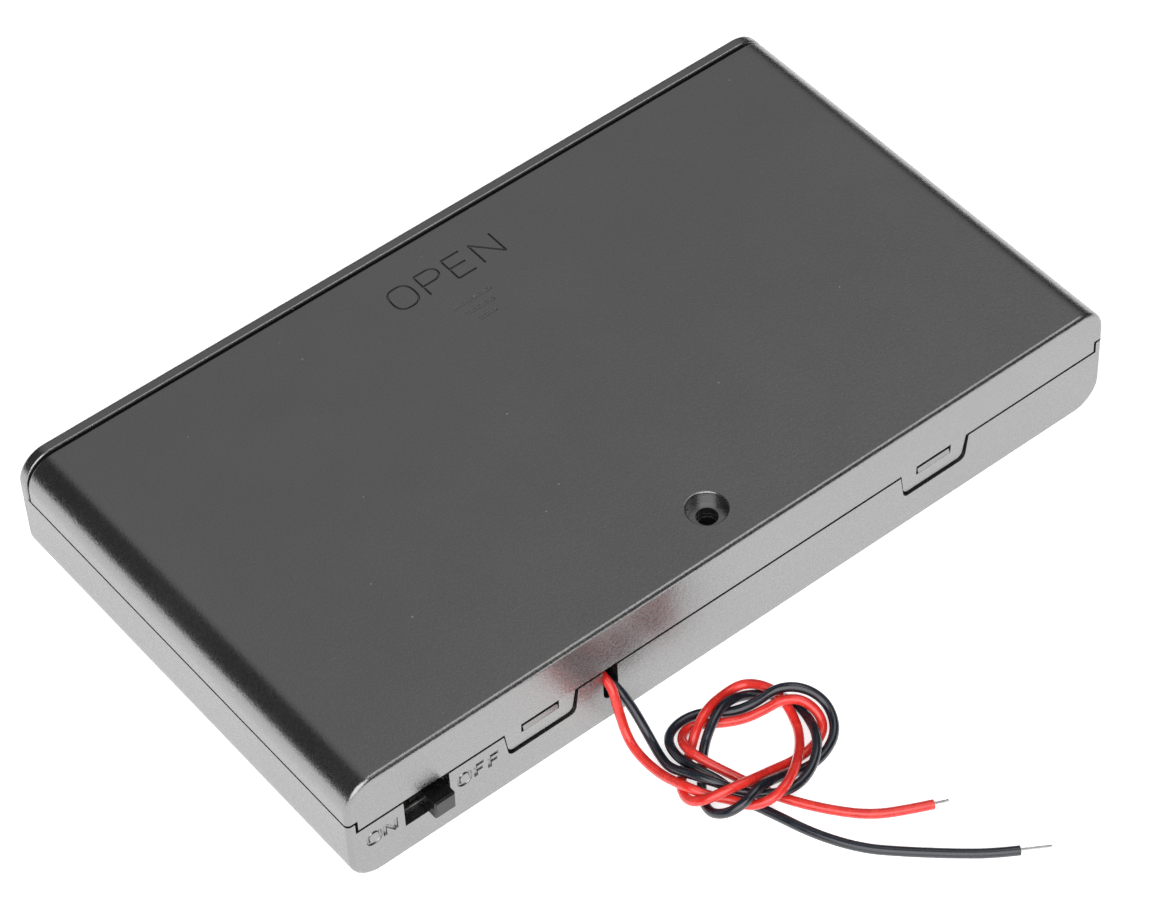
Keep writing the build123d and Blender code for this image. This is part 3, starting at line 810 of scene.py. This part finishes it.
def solderJoints():
    rise = solder["rise"] * mm
    for number in (1, 2):
        low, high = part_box(f"switch_pin_{number}")
        pinEnd = high[1] - solder["fromPinEnd"] * mm
        makeBlob(f"pinSolder{number}", ((low[0] + high[0]) / 2, pinEnd, high[2] + rise))
    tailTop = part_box("switch_pin_1")[1][2]
    for nodeName, side in (("positive_terminal", -1), ("negative_terminal", 1)):
        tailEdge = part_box(nodeName)[0][1] + solder["fromTailEdge"] * mm
        wireLow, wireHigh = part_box("jumper_wire" if side < 0 else "black_inner_lead")
        inset = solder["fromWireEdge"] * mm
        x = wireLow[0] + inset if side < 0 else wireHigh[0] - inset
        makeBlob(f"{nodeName}Solder", (x, tailEdge, tailTop + rise), turned=True)


solderJoints()
print("solder ready")

# Floor and light
studio = {
    "floorWidth": 40.0,
    "floorDrop": 0.02,      # millimetres under the case
    "floorShade": 0.94,
    "shadowedWhite": 0.64,  # how much of the white the camera sees even in shadow
    "worldLevel": 0.04,
}
# Square soft lamps that look at the middle of the case: metres and watts
lamps = {
    "overhead": {"place": (0.54, -0.08, 1.29), "width": 0.84, "power": 4.0},
    "backPanel": {"place": (0.58, 0.80, 1.09), "width": 1.3, "power": 1.7},
    "frontLeft": {"place": (-0.75, -0.90, 0.93), "width": 1.8, "power": 32.0},
}


def makeFloor():
    half = studio["floorWidth"] / 2
    mesh = bpy.data.meshes.new("floor")
    corners = [(-half, -half), (half, -half), (half, half), (-half, half)]
    mesh.from_pydata([(x, y, -studio["floorDrop"] * mm) for x, y in corners], [], [(0, 1, 2, 3)])
    floor = bpy.data.objects.new("floor", mesh)
    bpy.context.collection.objects.link(floor)
    material, tree, shader = newMaterial("floor")
    shader.inputs["Base Color"].default_value = (*[studio["floorShade"]] * 3, 1)
    shader.inputs["Roughness"].default_value = 0.9
    shader.inputs["Specular IOR Level"].default_value = 0.0
    # White where the camera, a mirror or a glass sees it, and lit like a floor for all other light
    path = addNode(tree, "ShaderNodeLightPath")
    seen = addNode(tree, "ShaderNodeMath", operation="MULTIPLY_ADD")
    seen.inputs[1].default_value = studio["shadowedWhite"]
    tree.links.new(path.outputs["Is Camera Ray"], seen.inputs[0])
    tree.links.new(path.outputs["Is Glossy Ray"], seen.inputs[2])
    lift = addNode(tree, "ShaderNodeMath", operation="ADD", use_clamp=True)
    tree.links.new(seen.outputs[0], lift.inputs[0])
    tree.links.new(path.outputs["Is Transmission Ray"], lift.inputs[1])
    shader.inputs["Emission Color"].default_value = (1, 1, 1, 1)
    tree.links.new(lift.outputs[0], shader.inputs["Emission Strength"])
    mesh.materials.append(material)


def makeWorld():
    world = bpy.data.worlds.new("studio")
    bpy.context.scene.world = world
    world.use_nodes = True
    background = world.node_tree.nodes["Background"]
    background.inputs["Color"].default_value = (1, 1, 1, 1)
    background.inputs["Strength"].default_value = studio["worldLevel"]


def makeLamp(name):
    settings = lamps[name]
    data = bpy.data.lights.new(name, "AREA")
    data.size = settings["width"]
    data.energy = settings["power"]
    lamp = bpy.data.objects.new(name, data)
    aim = -Vector(settings["place"])
    lamp.rotation_euler = aim.to_track_quat("-Z", "Y").to_euler()
    lamp.location = settings["place"]
    bpy.context.collection.objects.link(lamp)


makeFloor()
makeWorld()
for lampName in lamps:
    makeLamp(lampName)
print("studio ready")
